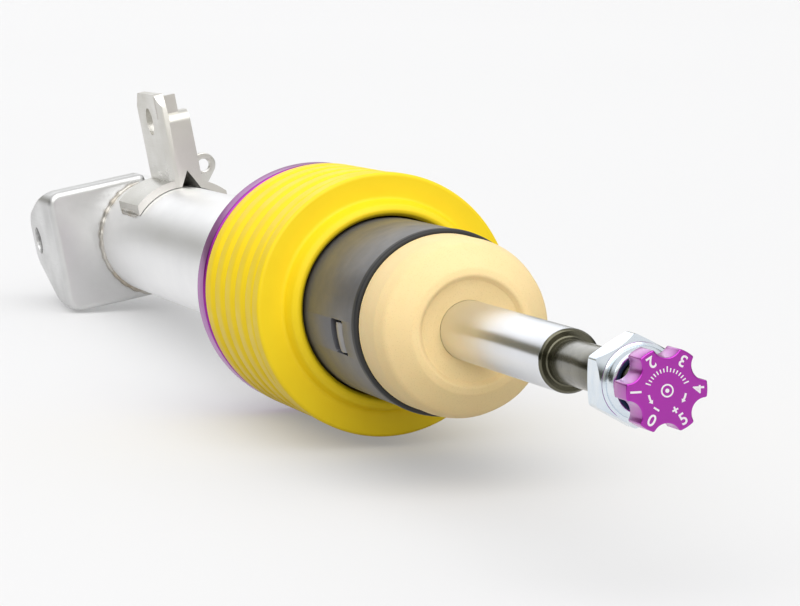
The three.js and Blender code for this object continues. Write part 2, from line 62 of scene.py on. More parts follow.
MM = 0.001
TAU = 2 * math.pi
rod_turn = next(j for j in frame["joints"] if j["name"] == "rod_turn")
mounts = {m["name"]: m for m in frame["record"]["mounts"]}
SHOULDER = Vector(rod_turn["pos_m"])
AXIS = Vector(rod_turn["axis"]).normalized()
SIDE = Vector((0, 1, 0))
UP = AXIS.cross(SIDE)
TILT = math.atan2(AXIS.z, AXIS.x)
STRUT_TURN = Matrix((AXIS, SIDE, UP)).transposed().to_4x4()
STRUT = Matrix.Translation(SHOULDER) @ STRUT_TURN @ Matrix.Scale(MM, 4)
lug_axis = Vector(mounts["knuckle_lug_face"]["axis"])
ROLL = math.atan2(-lug_axis.dot(UP), -lug_axis.dot(SIDE))  # turn of the lower brackets
BRACKETS = STRUT @ Matrix.Rotation(ROLL, 4, "X")


def local(node, matrix=STRUT):
    """A CAD node's vertices in mm, in the strut's frame or the brackets'."""
    back = matrix.inverted()
    return [back @ v.co for v in frame["nodes"][node].data.vertices]


def span(node):
    """A turned CAD node's rear and front stations and its smallest and largest radius."""
    points = local(node)
    stations = [p.x for p in points]
    radii = [math.hypot(p.y, p.z) for p in points]
    return min(stations), max(stations), min(radii), max(radii)


def extent(node, matrix=BRACKETS):
    """Lowest and highest corner of a CAD node, in the brackets' frame unless told otherwise."""
    points = local(node, matrix)
    return [Vector([pick(p[i] for p in points) for i in range(3)]) for pick in (min, max)]


SLOT_OF = {p["node"]: p["material_slot"] for p in frame["record"]["subparts"]}

# ---- mesh building


FILLET_STEP = math.radians(12)
FILLET_REACH = 0.48  # the most of an edge that one rounded corner may use
MERGE = 1e-4


def fillet(points, closed=False):
    """Rounds the corners of a profile. A point is (u, v) or (u, v, corner radius)."""
    made = []
    count = len(points)
    for i, point in enumerate(points):
        here = Vector(point[:2])
        radius = point[2] if len(point) > 2 else 0
        if radius <= 0 or (not closed and i in (0, count - 1)):
            made.append(tuple(here))
            continue
        before = Vector(points[i - 1][:2]) - here
        after = Vector(points[(i + 1) % count][:2]) - here
        angle = before.angle(after)
        shorter = min(before.length, after.length)
        reach = min(radius / math.tan(angle / 2), FILLET_REACH * shorter)
        radius = reach * math.tan(angle / 2)
        before.normalize()
        after.normalize()
        centre = here + (before + after).normalized() * (radius / math.sin(angle / 2))
        start = here + before * reach - centre
        end = here + after * reach - centre
        turn = start.angle_signed(end)
        steps = max(2, round(abs(turn) / FILLET_STEP))
        for k in range(steps + 1):
            arm = start.copy()
            arm.rotate(Matrix.Rotation(-turn * k / steps, 2))
            made.append(tuple(centre + arm))
    return made


def circle(station, radius, count):
    """One ring of points; the station and the radius may be functions of the angle."""
    points = []
    for i in range(count):
        angle = TAU * i / count
        r = radius(angle) if callable(radius) else radius
        x = station(angle) if callable(station) else station
        points.append(Vector((x, r * math.cos(angle), r * math.sin(angle))))
    return points


def skin(name, rings, loop=False):
    """A closed mesh over rings of equal length. Without loop the two ends are capped."""
    bm = bmesh.new()
    rows = [[bm.verts.new(p) for p in ring] for ring in rings]
    count = len(rows[0])
    pairs = list(zip(rows, rows[1:]))
    if loop:
        pairs.append((rows[-1], rows[0]))
    for low, high in pairs:
        for i in range(count):
            j = (i + 1) % count
            bm.faces.new((low[i], low[j], high[j], high[i]))
    if not loop:
        for row in (rows[0], rows[-1]):
            middle = bm.verts.new(sum((v.co for v in row), Vector()) / count)
            for i in range(count):
                bm.faces.new((row[i], row[(i + 1) % count], middle))
    return finished_bmesh(name, bm)


def linked(name, data):
    made = bpy.data.objects.new(name, data)
    bpy.context.scene.collection.objects.link(made)
    return made


def finished_bmesh(name, bm):
    """Merges, turns the faces outwards and links the object."""
    bmesh.ops.remove_doubles(bm, verts=bm.verts, dist=MERGE)
    bmesh.ops.recalc_face_normals(bm, faces=bm.faces)
    mesh = bpy.data.meshes.new(name)
    bm.to_mesh(mesh)
    bm.free()
    return linked(name, mesh)


def turned(profile, count):
    """Rings over a profile of (station, radius) points; either may be a function of the angle."""
    return [circle(x, r, count) for x, r in profile]


def revolve(name, profile, count=144):
    """A turned piece. The profile's points are (station, radius) or (station, radius, corner radius)."""
    return skin(name, turned(fillet(profile, closed=True), count), loop=True)


def sheet(name, outline, low, high, plane="XZ"):
    """A flat outline pushed through from low to high along the third axis."""
    bm = bmesh.new()
    order = {"XZ": (0, 2, 1), "YZ": (2, 0, 1), "XY": (0, 1, 2)}[plane]
    rows = []
    for level in (low, high):
        rows.append([bm.verts.new([(u, v, level)[i] for i in order]) for u, v in outline])
        bm.faces.new(rows[-1])
    count = len(outline)
    for i in range(count):
        j = (i + 1) % count
        bm.faces.new((rows[0][i], rows[0][j], rows[1][j], rows[1][i]))
    return finished_bmesh(name, bm)


def spaced(start, end, steps):
    """Evenly spaced numbers, both ends included."""
    return [start + (end - start) * k / steps for k in range(steps + 1)]


def arc(centre, radius, start, end, steps):
    """Points on an arc in a plane, both ends included."""
    return [(centre[0] + radius * math.cos(a), centre[1] + radius * math.sin(a))
            for a in spaced(start, end, steps)]


def bore(axis, low, high, radius, at=(0, 0, 0), count=64):
    """A round cutter along an axis through a point."""
    made = skin("cutter", [circle(low, radius, count), circle(high, radius, count)])
    turn = {
        "X": Matrix(),
        "Y": Matrix.Rotation(math.pi / 2, 4, "Z"),
        "Z": Matrix.Rotation(-math.pi / 2, 4, "Y"),
    }
    made.data.transform(Matrix.Translation(at) @ turn[axis])
    return made


def evaluated_mesh(target):
    graph = bpy.context.evaluated_depsgraph_get()
    graph.update()
    return bpy.data.meshes.new_from_object(target.evaluated_get(graph))


def modified(target, kind, **settings):
    """The same object with one modifier applied."""
    modifier = target.modifiers.new("made", kind)
    for key, value in settings.items():
        setattr(modifier, key, value)
    mesh = evaluated_mesh(target)
    target.modifiers.clear()
    target.data = mesh
    return target


def carve(target, tool, operation="DIFFERENCE"):
    modified(target, "BOOLEAN", operation=operation, solver="EXACT", object=tool)
    bpy.data.objects.remove(tool)


def bevel(target, width, segments=3, angle=32):
    return modified(target, "BEVEL", width=width, segments=segments, limit_method="ANGLE",
                    angle_limit=math.radians(angle), use_clamp_overlap=True)


def place(made, body, slot, nodes=(), matrix=STRUT, sharp=34, material=None):
    """Puts a finished mesh in the row frame, on its body, with its finish."""
    made.data.transform(matrix)
    made.data.polygons.foreach_set("use_smooth", [True] * len(made.data.polygons))
    made.data.set_sharp_from_angle(angle=math.radians(sharp))
    if not made.data.materials:
        made.data.materials.append(material or MATERIALS[slot])
    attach(made, body)
    if nodes:
        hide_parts(*nodes)


# ---- materials


ANGLE_SHARE = 0.02  # how far turning lines wander as they go round
CLEAR_COAT = {"Coat_Roughness": 0.16, "Coat_IOR": 1.6}


class Graph:
    """The nodes of a procedural material, or of the world, with short calls for them."""

    def __init__(self, name, kind=bpy.data.materials, shader="Principled BSDF"):
        self.material = kind.new(name)
        self.material.use_nodes = True
        self.tree = self.material.node_tree
        self.shader = self.tree.nodes[shader]

    def node(self, kind, settings=None, **inputs):
        made = self.tree.nodes.new(kind)
        for key, value in (settings or {}).items():
            setattr(made, key, value)
        for key, value in inputs.items():
            self.feed(made, key.replace("_", " "), value)
        return made

    def feed(self, node, key, value):
        socket = node.inputs[int(key)] if key.isdigit() else node.inputs[key]
        if isinstance(value, bpy.types.NodeSocket):
            self.tree.links.new(value, socket)
        else:
            socket.default_value = value

    def set(self, **inputs):
        for key, value in inputs.items():
            self.feed(self.shader, key.replace("_", " "), value)

    def math(self, operation, a, b=0.0):
        return self.node("ShaderNodeMath", {"operation": operation}, **{"0": a, "1": b}).outputs[0]

    def strut(self):
        """The point in the strut's frame, in metres from the rod's shoulder."""
        point = self.node("ShaderNodeTexCoord").outputs["Object"]
        return self.node("ShaderNodeMapping", {"vector_type": "TEXTURE"}, Vector=point,
                         Location=SHOULDER, Rotation=(0, -TILT, 0)).outputs["Vector"]

    def turned(self):
        """(station, radius, a little of the angle): noise on this makes lines round the axis."""
        split = self.node("ShaderNodeSeparateXYZ", Vector=self.strut()).outputs
        squares = self.math("ADD", self.math("MULTIPLY", split[1], split[1]),
                            self.math("MULTIPLY", split[2], split[2]))
        radius = self.math("SQRT", squares)
        drift = self.math("MULTIPLY", self.math("ADD", split[1], split[2]), ANGLE_SHARE)
        return self.node("ShaderNodeCombineXYZ", X=split[0], Y=radius, Z=drift).outputs[0]

    def noise(self, vector, scale, detail=3.0, roughness=0.55):
        return self.node("ShaderNodeTexNoise", Vector=vector, Scale=scale, Detail=detail,
                         Roughness=roughness).outputs["Fac"]

    def spread(self, value, low, high, from_low=0.3, from_high=0.7, curve="LINEAR"):
        """A value stretched to a range; the limits it starts from suit noise."""
        settings = {"clamp": True, "interpolation_type": curve}
        return self.node("ShaderNodeMapRange", settings, Value=value, From_Min=from_low,
                         From_Max=from_high, To_Min=low, To_Max=high).outputs["Result"]

    def mix(self, factor, a, b):
        made = self.node("ShaderNodeMix", {"data_type": "RGBA"})
        self.feed(made, "0", factor)
        self.feed(made, "6", a if isinstance(a, bpy.types.NodeSocket) else (*a, 1))
        self.feed(made, "7", b if isinstance(b, bpy.types.NodeSocket) else (*b, 1))
        return made.outputs[2]

    def bump(self, height, strength, distance, normal=None):
        made = self.node("ShaderNodeBump", Height=height, Strength=strength, Distance=distance)
        if normal is not None:
            self.feed(made, "Normal", normal)
        return made.outputs["Normal"]


def metal(name, colour, tint, roughness, grain=9000.0, depth=0.00002, coat=0.0, blotch=60.0,
          ground=0.0, uneven=0.2):
    """Machined or plated metal: lines round the axis, cloudy tint and uneven polish."""
    g = Graph(name)
    lines = g.noise(g.turned(), grain, 2.0)
    cloud = g.noise(g.strut(), blotch, 4.0)
    g.set(Base_Color=g.mix(g.spread(cloud, 0.0, 1.0), colour, tint), Metallic=1.0)
    scored = g.spread(lines, -0.2 * uneven, 0.2 * uneven)
    polish = g.spread(cloud, roughness * (1 - uneven), roughness * (1 + uneven))
    g.set(Roughness=g.math("ADD", scored, polish), Normal=g.bump(lines, 0.35, depth))
    if coat:
        g.set(Coat_Weight=coat, **CLEAR_COAT)
    if ground:
        # grinding marks run round the axis, so highlights stretch along it
        along = g.node("ShaderNodeCombineXYZ", X=AXIS.x, Y=AXIS.y, Z=AXIS.z).outputs[0]
        g.set(Anisotropic=ground, Tangent=along)
    return g.material


def sheet_metal(name, colour, tint, roughness):
    """Rolled and pickled sheet: fine brushing along the strut and soft clouds."""
    g = Graph(name)
    at = g.strut()
    long_strokes = (60.0, 2600.0, 2600.0)
    stretched = g.node("ShaderNodeVectorMath", {"operation": "MULTIPLY"},
                       **{"0": at, "1": long_strokes})
    brushing = g.noise(stretched.outputs[0], 1.0, 2.0)
    cloud = g.noise(at, 45.0, 5.0)
    g.set(Base_Color=g.mix(g.spread(cloud, 0.0, 1.0), colour, tint), Metallic=1.0)
    polish = g.spread(cloud, roughness * 0.8, roughness * 1.3)
    g.set(Roughness=g.math("ADD", g.spread(brushing, -0.05, 0.05), polish))
    rough = g.bump(g.noise(at, 900.0, 3.0), 0.12, 0.00005)
    g.set(Normal=g.bump(brushing, 0.2, 0.00003, rough))
    return g.material


def moulding(name, colour, tint, roughness, pores=2500.0, gloss=0.5):
    """Satin moulded plastic or paint: faint mottling and a fine orange peel."""
    g = Graph(name)
    at = g.strut()
    cloud = g.noise(at, 90.0, 4.0)
    peel = g.noise(at, pores, 2.0)
    g.set(Base_Color=g.mix(g.spread(cloud, 0.0, 1.0), colour, tint))
    g.set(Roughness=g.spread(cloud, roughness * 0.88, roughness * 1.15))
    g.set(Normal=g.bump(peel, 0.25, 0.00004))
    g.set(Specular_IOR_Level=gloss)
    return g.material


def foam(name, colour, tint):
    """Microcellular foam: a skin with open pores, their middles coloured darker as painted shade, and a soft sheen
    of scattered light.
    """
    g = Graph(name)
    at = g.strut()
    cells = g.node("ShaderNodeTexVoronoi", Vector=at, Scale=1500.0).outputs["Distance"]
    cloud = g.noise(at, 70.0, 5.0)
    fine = g.noise(at, 2600.0, 3.0)
    pits = g.spread(cells, 0.0, 1.0, 0.05, 0.35)
    shade = g.mix(g.spread(cloud, 0.0, 1.0), colour, tint)
    # painted shade: the pores' sunken middles are coloured darker, standing in for the shade inside them
    in_pits = tuple(0.92 * c for c in tint)
    g.set(Base_Color=g.mix(pits, in_pits, shade), Roughness=g.spread(fine, 0.72, 0.95))
    g.set(Subsurface_Weight=0.12, Subsurface_Scale=0.002, Sheen_Weight=0.08, Sheen_Roughness=0.5)
    g.set(Normal=g.bump(pits, 0.25, 0.00012, g.bump(fine, 0.35, 0.0001)))
    return g.material


# colour, tint of its clouds, roughness; the keys are the record's material slots
MATERIALS = {
    "anodised": metal("anodised", (0.45, 0.010, 0.44), (0.40, 0.008, 0.40), 0.38, depth=0.00001,
                      coat=0.85),
    "zinc": metal("zinc", (0.80, 0.85, 0.89), (0.70, 0.78, 0.86), 0.19, blotch=220.0),
    "chrome": metal("chrome", (0.80, 0.82, 0.86), (0.77, 0.79, 0.83), 0.20, grain=14000.0, depth=0.000002,
                    ground=0.9, uneven=0.03),
    "foam": foam("foam", (0.97, 0.74, 0.38), (0.94, 0.70, 0.34)),
    "sleeve_plastic": moulding("sleeve_plastic", (0.088, 0.090, 0.106), (0.074, 0.076, 0.090), 0.40,
                               gloss=0.8),
    "rubber": moulding("rubber", (0.012, 0.012, 0.013), (0.020, 0.020, 0.020), 0.5, pores=1400.0),
    "yellow": moulding("yellow", (0.98, 0.72, 0.012), (0.96, 0.69, 0.010), 0.48, gloss=0.3),
    "stainless": metal("stainless", (0.94, 0.94, 0.94), (0.91, 0.91, 0.915), 0.46, grain=5000.0,
                       depth=0.000008, uneven=0.08),
    "plated": sheet_metal("plated", (0.69, 0.69, 0.685), (0.62, 0.62, 0.615), 0.36),
    "dark_steel": metal("dark_steel", (0.105, 0.099, 0.060), (0.080, 0.076, 0.048), 0.24, blotch=150.0,
                        ground=0.3, coat=0.6),
    "cast_aluminium": metal("cast_aluminium", (0.60, 0.61, 0.62), (0.52, 0.53, 0.54), 0.42),
    "bearing": metal("bearing", (0.42, 0.28, 0.14), (0.34, 0.22, 0.10), 0.45),
    "nylon": moulding("nylon", (0.030, 0.055, 0.13), (0.022, 0.040, 0.10), 0.34),
}
LINK_FINISH = sheet_metal("link_plated", (0.71, 0.70, 0.665), (0.64, 0.625, 0.575), 0.35)
RING_FINISH = metal("anodised_ring", (0.34, 0.030, 0.34), (0.30, 0.024, 0.31), 0.34, depth=0.00001,
                    coat=0.25)
MARKING = moulding("marking", (0.90, 0.87, 0.90), (0.84, 0.80, 0.85), 0.45, pores=5000.0)
CLIP = moulding("clip", (0.30, 0.29, 0.29), (0.26, 0.255, 0.26), 0.4)

# ---- knob

knob_back, knob_front, _, knob_tip = span("adjuster_knob")
LOBES = 6
SCALLOP_R = 4.3
SCALLOP_CENTRE = 13.5
KNOB_THICKNESS = 10.0
HUB_R = 6.0
SPINDLE_BORE = 2.8
HUB_CHAMFER = 0.4
KNOB_EDGE = 0.45  # rounding of the knob's rims
KNOB_FACE_WALL = 3.0  # metal left in front of the spindle's bore
KNOB_GRUB_BORE = 1.65
KNOB_STEPS = 360
DENSE_STEPS = 3600
SMOOTHING = 22  # dense steps averaged to each side, which rounds the lobes' corners


def knob_outline():
    """The lobed outline, sampled evenly round its length, with outward normals."""
    step = TAU / LOBES
    cosine = (knob_tip**2 + SCALLOP_CENTRE**2 - SCALLOP_R**2) / (2 * knob_tip * SCALLOP_CENTRE)
    half = math.acos(cosine)
    mouth = Vector((knob_tip * math.cos(half) - SCALLOP_CENTRE, knob_tip * math.sin(half)))
    mouth_angle = math.atan2(mouth.y, mouth.x)
    points = []
    for lobe in range(LOBES):
        middle = lobe * step
        scallop = middle + step / 2
        centre = (SCALLOP_CENTRE * math.cos(scallop), SCALLOP_CENTRE * math.sin(scallop))
        points += arc((0, 0), knob_tip, middle - step / 2 + half, scallop - half, 24)
        points += arc(centre, SCALLOP_R, scallop - mouth_angle, scallop + mouth_angle - TAU, 40)[1:-1]
    dense = resample(points, DENSE_STEPS)
    window = range(-SMOOTHING, SMOOTHING + 1)
    smooth = [
        sum((dense[(i + k) % DENSE_STEPS] for k in window), Vector((0, 0))) / len(window)
        for i in range(DENSE_STEPS)
    ]
    even = resample([tuple(p) for p in smooth], KNOB_STEPS)
    normals = []
    for i in range(KNOB_STEPS):
        along = even[(i + 1) % KNOB_STEPS] - even[i - 1]
        normals.append(Vector((along.y, -along.x)).normalized())
    return even, normals


def resample(points, count):
    """Evenly spaced points round a closed polyline."""
    line = [Vector(p) for p in points]
    lengths = [(line[(i + 1) % len(line)] - p).length for i, p in enumerate(line)]
    total = sum(lengths)
    made = []
    i = 0
    run = 0.0
    for k in range(count):
        target = total * k / count
        while run + lengths[i] < target:
            run += lengths[i]
            i += 1
        share = (target - run) / max(lengths[i], 1e-9)
        made.append(line[i].lerp(line[(i + 1) % len(line)], share))
    return made


def make_knob():
    outline, normals = knob_outline()
    back = knob_front - KNOB_THICKNESS
    edge = KNOB_EDGE

    def lobed(station, inset):
        return [Vector((station, p.x - n.x * inset, p.y - n.y * inset)) for p, n in zip(outline, normals)]

    def plain(station, radius):
        made = []
        for p in outline:
            angle = math.atan2(p.y, p.x)
            made.append(Vector((station, radius * math.cos(angle), radius * math.sin(angle))))
        return made

    rings = [plain(knob_front - KNOB_FACE_WALL, SPINDLE_BORE), plain(knob_back, SPINDLE_BORE)]
    rings += [plain(knob_back, HUB_R - HUB_CHAMFER), plain(knob_back + HUB_CHAMFER, HUB_R)]
    rings.append(plain(back, HUB_R))
    quarter = [k * math.pi / 8 for k in range(5)]
    rings += [lobed(back + edge * (1 - math.sin(a)), edge * (1 - math.cos(a))) for a in reversed(quarter)]
    rings += [lobed(knob_front - edge * (1 - math.sin(a)), edge * (1 - math.cos(a))) for a in quarter]
    rings.append(lobed(knob_front, edge + 0.1))
    rings.append(plain(knob_front, HUB_R + 1))
    made = skin("adjuster_knob_body", rings)
    grub_back, grub_front, _, _ = span("knob_grub_screw")
    grub_hole = ((grub_back + grub_front) / 2, 0, 0)
    carve(made, bore("Z", -knob_tip - 2, -1, KNOB_GRUB_BORE, grub_hole, 40))
    place(made, "adjuster", "anodised", ["adjuster_knob"])


# marks on the knob's face: radii and sizes in mm, angles in degrees anticlockwise from the face's right
MARK_RAISE = 0.03
DIGIT_R = 9.55
DIGIT_HEIGHT = 3.3
CAP_SHARE = 0.7  # a digit's height as a share of the font's size
DIGIT_BOLDNESS = 0.07
ZERO_AT = 240
TICK_R, TICK_OUT_R, LONG_TICK = 5.25, 6.35, 0.5
TICK_COUNT, TICK_FROM, TICK_STEP, TICK_HALF_WIDTH = 15, 20, 10, 1.7
SHAFT_IN_R, SHAFT_OUT_R = 5.3, 5.9
HEAD_IN_R, HEAD_OUT_R, HEAD_TIP_R, HEAD_LENGTH = 4.9, 6.35, 5.6, 10
ARROWS = ((190, 209, 1), (350, 331, -1))  # tail, head and direction
SIGN_R, MINUS_AT, PLUS_AT = 6.0, 237, 293
SIGN_LONG, SIGN_THIN = 0.95, 0.26  # half lengths of a sign's bar
RING_OUT_R, RING_IN_R, DOT_R = 1.9, 1.45, 0.6


def knob_marks():
    """Digits 0 to 5, ticks, two turn arrows, plus and minus, a ring and a dot: thin marks on the face."""
    pieces = []

    def flat(name, outline, holes=()):
        curve = bpy.data.curves.new(name, "CURVE")
        curve.dimensions = "2D"
        curve.fill_mode = "BOTH"
        curve.extrude = MARK_RAISE
        for loop in (outline, *holes):
            line = curve.splines.new("POLY")
            line.points.add(len(loop) - 1)
            for point, (u, v) in zip(line.points, loop):
                point.co = (u, v, 0, 1)
            line.use_cyclic_u = True
        return linked(name, curve)

    def add(made, turn=0.0, at=(0, 0)):
        mesh = evaluated_mesh(made)
        mesh.transform(Matrix.Translation((*at, 0)) @ Matrix.Rotation(turn, 4, "Z"))
        pieces.append(mesh)
        bpy.data.objects.remove(made)

    def polar(radius, degrees):
        return (radius * math.cos(math.radians(degrees)), radius * math.sin(math.radians(degrees)))

    for digit in range(LOBES):
        at = ZERO_AT - 360 / LOBES * digit
        text = bpy.data.curves.new("digit", "FONT")
        text.body = str(digit)
        text.size = DIGIT_HEIGHT / CAP_SHARE
        text.extrude = MARK_RAISE
        text.offset = DIGIT_BOLDNESS
        text.align_x = text.align_y = "CENTER"
        add(linked("digit", text), math.radians(at) + math.pi / 2, polar(DIGIT_R, at))

    def band(inner, outer, start, end, steps=10):
        angles = spaced(start, end, steps)
        return [polar(inner, a) for a in angles] + [polar(outer, a) for a in reversed(angles)]

    for k in range(TICK_COUNT):
        at = TICK_FROM + TICK_STEP * k
        outer = TICK_OUT_R + (LONG_TICK if k % 7 == 0 else 0.0)
        add(flat("tick", band(TICK_R, outer, at - TICK_HALF_WIDTH, at + TICK_HALF_WIDTH, 2)))
    for tail, head, sign in ARROWS:
        add(flat("shaft", band(SHAFT_IN_R, SHAFT_OUT_R, tail, head)))
        tip = polar(HEAD_TIP_R, head + sign * HEAD_LENGTH)
        add(flat("head", [polar(HEAD_IN_R, head), polar(HEAD_OUT_R, head), tip]))
    a, b = SIGN_LONG, SIGN_THIN
    bar = [(-a, -b), (a, -b), (a, b), (-a, b)]
    add(flat("minus", bar), math.radians(MINUS_AT + 90), polar(SIGN_R, MINUS_AT))
    cross = [(-a, -b), (-b, -b), (-b, -a), (b, -a), (b, -b), (a, -b),
             (a, b), (b, b), (b, a), (-b, a), (-b, b), (-a, b)]
    add(flat("plus", cross), math.radians(PLUS_AT + 90), polar(SIGN_R, PLUS_AT))
    ring, hole = (arc((0, 0), r, 0, TAU, 48)[:-1] for r in (RING_OUT_R, RING_IN_R))
    add(flat("ring", ring, [hole]))
    add(flat("dot", arc((0, 0), DOT_R, 0, TAU, 24)[:-1]))

    bm = bmesh.new()
    for mesh in pieces:
        bm.from_mesh(mesh)
    bmesh.ops.remove_doubles(bm, verts=bm.verts, dist=1e-5)
    # the marks' own X and Y become the strut's Y and Z
    turn = Matrix(((0, 0, 1), (1, 0, 0), (0, 1, 0))).to_4x4()
    bm.transform(Matrix.Translation((knob_front, 0, 0)) @ turn)
    made = finished_bmesh("knob_scale_marks", bm)
    place(made, "adjuster", "anodised", material=MARKING)


make_knob()
knob_marks()

# ---- nut and insert

nut_back, nut_front, nut_bore, _ = span("top_nut")
NUT_FLAT_R = 12.0
NUT_CORNER_R = 13.62
NUT_REAR_CHAMFER = 1.1  # how far each cone runs along the hexagon's corners
NUT_FRONT_CHAMFER = 4.2
NUT_FACE_R = 11.7
NUT_SHARP_CORNER_R = 13.9
NUT_COLLAR_HEIGHT = 4.0
NUT_COLLAR_R = 10.75
NUT_POCKET_R = 8.9
NUT_STEPS = 360


def hexagonal(angle, flat=NUT_FLAT_R, corner=NUT_CORNER_R):
    """Radius of a hexagon with blunted corners; its corners are at 30 degrees and every 60 after."""
    within = angle % (TAU / 6)
    off = min(within, TAU / 6 - within)
    return min(flat / math.cos(off), corner)


def make_nut():
    hex_front = nut_front - NUT_COLLAR_HEIGHT
    pocket_floor = hex_front + 0.5

    def cone(face, full, shift=0.0):
        """A ring where a cone cuts the hexagon; full is its depth at the corners."""
        def station(angle):
            return face + full * (hexagonal(angle) - NUT_FACE_R) / (NUT_SHARP_CORNER_R - NUT_FACE_R) + shift

        return circle(station, hexagonal, NUT_STEPS)

    rings = [circle(nut_back, r, NUT_STEPS) for r in (nut_bore + 0.5, NUT_FACE_R - 0.4, NUT_FACE_R)]
    rings += [cone(nut_back, NUT_REAR_CHAMFER), cone(nut_back, NUT_REAR_CHAMFER, 0.25)]
    rings += [cone(hex_front, -NUT_FRONT_CHAMFER, -0.2), cone(hex_front, -NUT_FRONT_CHAMFER)]
    rings += [circle(hex_front, r, NUT_STEPS) for r in (NUT_FACE_R, NUT_FACE_R - 0.15)]
    collar = [(hex_front, NUT_COLLAR_R + 0.75), (hex_front + 0.55, NUT_COLLAR_R, 0.6),
              (nut_front - 1.6, NUT_COLLAR_R - 0.2, 0.8), (nut_front - 0.25, NUT_COLLAR_R - 0.85, 0.5),
              (nut_front, NUT_POCKET_R + 0.2, 0.2), (nut_front, NUT_POCKET_R - 0.15, 0.15),
              (nut_front - 0.6, NUT_POCKET_R, 0.2), (pocket_floor, NUT_POCKET_R), (pocket_floor, nut_bore)]
    rings += turned(fillet(collar), NUT_STEPS)
    rings.append(circle(nut_back + 0.5, nut_bore, NUT_STEPS))
    place(skin("lock_nut", rings, loop=True), "rod", "zinc", ["top_nut"], sharp=24)

    back, front, inner, outer = span("nut_insert")
    profile = [(back, inner), (back, outer), (front - 0.2, outer, 0.2), (front - 0.1, outer - 0.5, 0.3),
               (front - 0.5, inner + 0.5, 0.3), (front - 1.0, inner, 0.2)]
    place(revolve("nut_locking_insert", profile), "rod", "nylon", ["nut_insert"])


make_nut()

# ---- piston rod

rod_end, pin_tip, rod_bore, rod_r = span("piston_rod")
PIN_R = 7.0
PIN_PITCH = 1.5
PIN_THREAD_DEPTH = 0.55
PIN_THREAD_FROM = 36.0
SPIGOT_R = 6.0
SPIGOT_FRONT = -205.0
ROD_STEPS = 120
ROD_CHAMFER = 0.5
TIP_CHAMFER = 0.4
PIN_GROOVE = 0.15  # the turned relief behind the pin


def thread_wave(turns):
    """Depth share, 0 at the crest and 1 at the root, of a rounded V thread."""
    share = turns % 1.0
    return min(1.0, max(0.0, 1.15 * (1 - abs(2 * share - 1)) - 0.05))


def threaded_rings(start, end, radius, pitch, depth, per_pitch, count, fade):
    """Rings of a helical thread from one station to another, fading out at both ends."""
    steps = math.ceil(abs(end - start) / pitch * per_pitch)
    rings = []
    for x in spaced(start, end, steps):
        strength = min(1.0, abs(x - start) / fade, abs(end - x) / fade)

        def cut(angle):
            return radius - depth * strength * thread_wave(x / pitch - angle / TAU)

        rings.append(circle(x, cut, count))
    return rings


def make_rod():
    shoulder = [(rod_end, rod_bore), (rod_end, SPIGOT_R - ROD_CHAMFER, 0.1),
                (rod_end + ROD_CHAMFER, SPIGOT_R, 0.1),
                (SPIGOT_FRONT, SPIGOT_R), (SPIGOT_FRONT, rod_r - ROD_CHAMFER, 0.1),
                (SPIGOT_FRONT + ROD_CHAMFER, rod_r, 0.1), (-60, rod_r), (-1.0, rod_r, 0.35),
                (-0.1, rod_r - 0.75, 0.3), (-0.35, PIN_R + 0.7, 0.25), (-0.1, PIN_R + 0.25, 0.1),
                (1.4, PIN_R - PIN_GROOVE, 0.7), (2.4, PIN_R, 0.3), (20, PIN_R)]
    rings = turned(fillet(shoulder), ROD_STEPS)
    thread_end = pin_tip - TIP_CHAMFER
    rings += threaded_rings(PIN_THREAD_FROM, thread_end, PIN_R, PIN_PITCH, PIN_THREAD_DEPTH, 9,
                            ROD_STEPS, 1.2)
    tip = [(thread_end, PIN_R), (pin_tip, PIN_R - 0.9, 0.2), (pin_tip, rod_bore + TIP_CHAMFER, 0.1),
           (thread_end, rod_bore, 0.1), (pin_tip - 2, rod_bore)]
    rings += turned(fillet(tip)[1:], ROD_STEPS)
    made = skin("piston_rod_body", rings, loop=True)
    made.data.materials.append(MATERIALS["chrome"])
    made.data.materials.append(MATERIALS["dark_steel"])
    for face in made.data.polygons:
        centre = face.center
        radius = math.hypot(centre.y, centre.z)
        on_shoulder = centre.x > -0.75 and radius < rod_r - 0.12
        face.material_index = int(on_shoulder or centre.x > 0.1)
    place(made, "rod", "chrome", ["piston_rod"], sharp=30)


make_rod()

# ---- bump stop, sleeve and rim

sleeve_back, sleeve_front, sleeve_bore, sleeve_r = span("dust_sleeve")
rim_back, rim_front, _, rim_r = span("sleeve_rim")
stop_back, stop_front, stop_hole, stop_r = span("bump_stop")


FOAM_STEPS = 180
FOAM_WANDER = (0.16, 0.035)  # hand-trimmed foam is never quite round: broad and fine, in mm
FOAM_WANDER_SCALE = (0.06, 0.35)
FOAM_SHRINK = 0.12  # keeps the wander inside the foam's largest radius


def make_bump_stop():
    neck_r = sleeve_bore - 0.5
    hug = rod_r + 0.06
    lip = rim_front + 0.35
    recess = [(stop_front - 4.4, hug), (stop_front - 3.4, 13.0, 1.5), (stop_front - 2.3, 17.0, 0.6)]
    nose = [(stop_front, 18.4, 1.1), (stop_front - 0.5, 21.0, 2.0), (stop_front - 7.0, stop_r - 1.6, 5.0),
            (stop_front - 13.5, stop_r, 3.0), (lip, stop_r, 0.5)]
    neck = [(lip, neck_r), (stop_back + 1, neck_r, 0.6), (stop_back, neck_r - 1), (stop_back, hug)]
    rings = []
    for x, r in fillet(recess + nose + neck, closed=True):
        ring = circle(x, r, FOAM_STEPS)
        outside = r > stop_hole + 2 and x > lip + 0.4
        for point in ring if outside else []:
            waves = zip(FOAM_WANDER, FOAM_WANDER_SCALE)
            wander = sum(height * noise.noise(point * scale) for height, scale in waves)
            grown = 1 + (wander - FOAM_SHRINK) / r
            point.y *= grown
            point.z *= grown
        rings.append(ring)
    made = skin("foam_bump_stop", rings, loop=True)
    place(made, "bump", "foam", ["bump_stop"], sharp=50)


